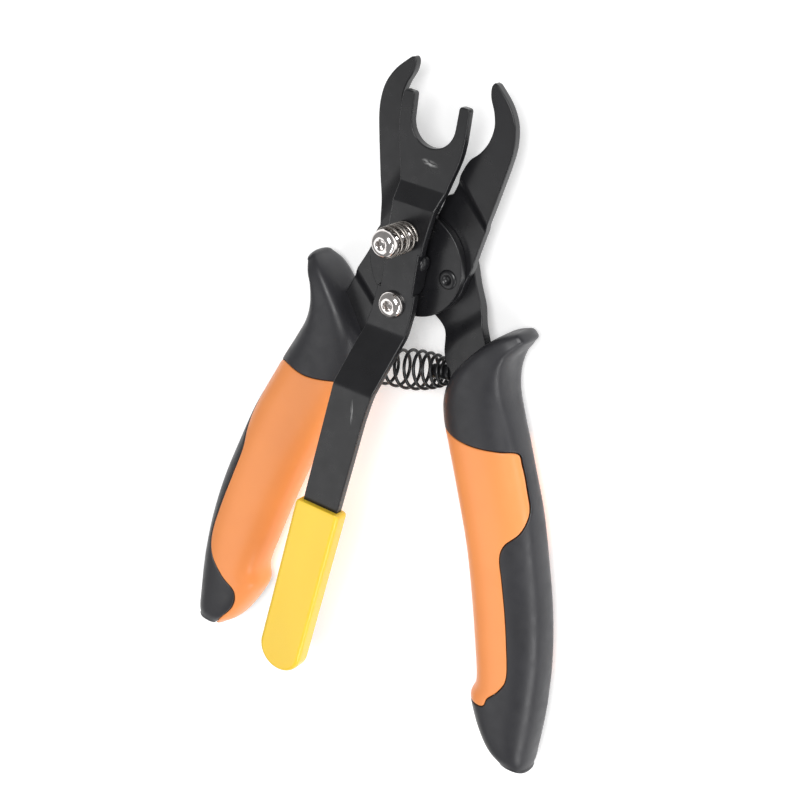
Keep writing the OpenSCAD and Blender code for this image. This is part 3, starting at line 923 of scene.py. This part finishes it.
def cut_level(bm, layer, level):
    """Cuts the faces along the line where the layer's value is level."""
    cuts = []
    for edge in list(bm.edges):
        a, b = edge.verts
        first, second = a[layer] - level, b[layer] - level
        if first * second < 0:
            share = first / (first - second)
            vert = bmesh.utils.edge_split(edge, a, share)[1]
            vert[layer] = level
            cuts.append(vert)
        else:
            cuts += [v for v, value in ((a, first), (b, second)) if value == 0]
    bmesh.ops.connect_verts(bm, verts=list(set(cuts)), check_degenerate=True)


def grip_skin(seam):
    """The right grip's whole skin, cut along the lines of the groove and its shoulders."""
    around, along, ends = 72, 190, 7
    bm = bmesh.new()
    side = bm.verts.layers.float.new("side")
    bmesh.ops.create_grid(bm, x_segments=around, y_segments=along + 2 * ends, size=1.0)
    for vert in bm.verts:
        turn = pi * (vert.co.x + 1)
        vert[side] = cos(turn)
        step = (vert.co.y + 1) / 2 * (along + 2 * ends) - ends
        run = step / along
        if step < 0:
            run = step / ends
        elif step > along:
            run = 1 + (step - along) / ends
        vert.co = grip_point(turn, run)
    bmesh.ops.remove_doubles(bm, verts=bm.verts, dist=0.004)
    bmesh.ops.holes_fill(bm, edges=[e for e in bm.edges if e.is_boundary], sides=0)
    bmesh.ops.recalc_face_normals(bm, faces=bm.faces)
    layer = bm.verts.layers.float.new("core_field")
    for vert, value in zip(bm.verts, core_field(bm, seam)):
        vert[layer] = value
    groove, shoulder = sizes().groove / MM, sizes().shoulder / MM
    reaches = [groove + shoulder * share for share in (0, 0.12, 0.36, 0.7, 1.0)]
    for reach in reaches:
        cut_level(bm, layer, reach)
        cut_level(bm, layer, -reach)
    bm.normal_update()
    moves = []
    for vert in bm.verts:
        inward = 1 - (abs(vert[layer]) - groove) / shoulder
        if 0 < inward:
            depth = shoulder * (1 - sqrt(max(0.0, 1 - min(inward, 1.0) ** 2)))
            moves.append((vert, vert.normal * depth))
    for vert, move in moves:
        vert.co -= move
    return bm, layer, groove


def grip_part(core, left):
    """The core's or the cover's skin of one grip; the left grip is the right one turned over."""
    bm, layer, groove = grip_skin(LEFT_SEAM if left else RIGHT_SEAM)
    sign = 1 if core else -1
    limit = groove - 1e-4
    others = [f for f in bm.faces if min(sign * v[layer] for v in f.verts) < limit]
    bmesh.ops.delete(bm, geom=others, context="FACES")
    if left:
        for vert in bm.verts:
            vert.co.y += FLARE_STRETCH * ramp(vert.co.y, -30, -10) ** 2
            vert.co.y -= TAIL_STRETCH * ramp(vert.co.y, -145, -173) ** 2
        turned = Matrix.Rotation(pi, 3, "Y")
        bmesh.ops.rotate(bm, cent=(0, 0, GRIP_MID), matrix=turned, verts=bm.verts)
    return bm


class PLIERS_OT_grips(bpy.types.Operator):
    """Builds the orange cores and the dark covers of both grips"""

    bl_idname = "pliers.grips"
    bl_label = "Grips"

    def execute(self, context):
        for side, body in (("left", JAW), ("right", MAIN)):
            for part, slot in (("core", "orange_core"), ("cover", "black_cover")):
                bm = grip_part(part == "core", side == "left")
                name = side + "_" + part
                node = side + "_grip_" + part
                piece = add_piece(bm, name, slot, [node], body, sharp=60)
                wall = piece.modifiers.new("wall", "SOLIDIFY")
                wall.thickness = sizes().skin
                wall.offset = -1
        return {"FINISHED"}


# ---- stage ------------------------------------------------------------------


def soft_light(name, direction, distance, width, height, power):
    """A large area light that looks at the middle of the object."""
    data = bpy.data.lights.new(name, "AREA")
    data.shape = "RECTANGLE"
    data.size = width
    data.size_y = height
    data.energy = power
    light = bpy.data.objects.new(name, data)
    bpy.context.scene.collection.objects.link(light)
    way = Vector(direction).normalized()
    light.location = way * distance
    light.rotation_mode = "QUATERNION"
    light.rotation_quaternion = way.to_track_quat("Z", "Y")


class PLIERS_OT_stage(bpy.types.Operator):
    """Builds the floor, the lights and the camera"""

    bl_idname = "pliers.stage"
    bl_label = "Stage"

    def execute(self, context):
        self.floor()
        self.lights()
        self.camera()
        return {"FINISHED"}

    def floor(self):
        bm = bmesh.new()
        bmesh.ops.create_grid(bm, x_segments=1, y_segments=1, size=30.0)
        mesh = bpy.data.meshes.new("floor")
        bm.to_mesh(mesh)
        bm.free()
        floor = bpy.data.objects.new("floor", mesh)
        bpy.context.scene.collection.objects.link(floor)
        finish = Finish("floor_finish")
        finish.link(
            finish.mixed(finish.noise(2), (0.90, 0.90, 0.90), (0.92, 0.92, 0.92)),
            finish.shader.inputs["Base Color"],
        )
        finish.set(Roughness=0.8, Emission_Color=(1, 1, 1, 1), Emission_Strength=0.35)
        mesh.materials.append(finish.material)

    def lights(self):
        world = bpy.data.worlds.new("studio")
        world.use_nodes = True
        world.node_tree.nodes["Background"].inputs["Color"].default_value = (1, 1, 1, 1)
        world.node_tree.nodes["Background"].inputs["Strength"].default_value = 0.28
        bpy.context.scene.world = world
        soft_light("key", (-0.46, -0.48, 0.79), 1.3, 1.1, 0.6, 2.6)
        soft_light("edge", (0.77, -0.35, 0.46), 1.2, 1.3, 0.25, 6.5)
        soft_light("fill", (0.28, 0.36, 0.88), 1.5, 0.6, 0.7, 13.0)

    def camera(self):
        right = Vector((0.82246, 0.14153, -0.55094)).normalized()
        back = Vector((0.45961, 0.40529, 0.79024)).normalized()
        up = back.cross(right)
        data = bpy.data.cameras.new("camera")
        data.type = "PERSP"
        data.lens = 73.44
        data.sensor_width = 36
        data.clip_start = 0.01
        camera = bpy.data.objects.new("camera", data)
        bpy.context.scene.collection.objects.link(camera)
        place = PIVOT + Vector((262.2, 179.5, 451.4)) * MM
        turn = Matrix((right, up, back)).transposed().to_4x4()
        camera.matrix_world = Matrix.Translation(place) @ turn
        bpy.context.scene.camera = camera
        bpy.context.scene.view_settings.view_transform = "Standard"


# ---- panel and registration -------------------------------------------------

OPERATORS = (
    PLIERS_OT_plates, PLIERS_OT_pivot, PLIERS_OT_lever, PLIERS_OT_screws,
    PLIERS_OT_return_spring, PLIERS_OT_grips, PLIERS_OT_stage,
)


class PLIERS_PT_panel(bpy.types.Panel):
    """Lists the pliers' pieces, sizes and colours"""

    bl_idname = "PLIERS_PT_panel"
    bl_label = "Release Pliers"
    bl_space_type = "VIEW_3D"
    bl_region_type = "UI"
    bl_category = "Pliers"

    def draw(self, context):
        for operator in OPERATORS:
            self.layout.operator(operator.bl_idname)
        for group in (context.scene.pliers_sizes, context.scene.pliers_colours):
            box = self.layout.box()
            for name in group.__annotations__:
                box.prop(group, name)


CLASSES = (PliersSizes, PliersColours, *OPERATORS, PLIERS_PT_panel)


def register():
    for cls in CLASSES:
        bpy.utils.register_class(cls)
    bpy.types.Scene.pliers_sizes = bpy.props.PointerProperty(type=PliersSizes)
    bpy.types.Scene.pliers_colours = bpy.props.PointerProperty(type=PliersColours)


def unregister():
    del bpy.types.Scene.pliers_colours
    del bpy.types.Scene.pliers_sizes
    for cls in reversed(CLASSES):
        bpy.utils.unregister_class(cls)


def main():
    register()
    bpy.ops.pliers.plates()
    bpy.ops.pliers.pivot()
    bpy.ops.pliers.lever()
    bpy.ops.pliers.screws()
    bpy.ops.pliers.return_spring()
    bpy.ops.pliers.grips()
    bpy.ops.pliers.stage()


if __name__ == "__main__":
    main()
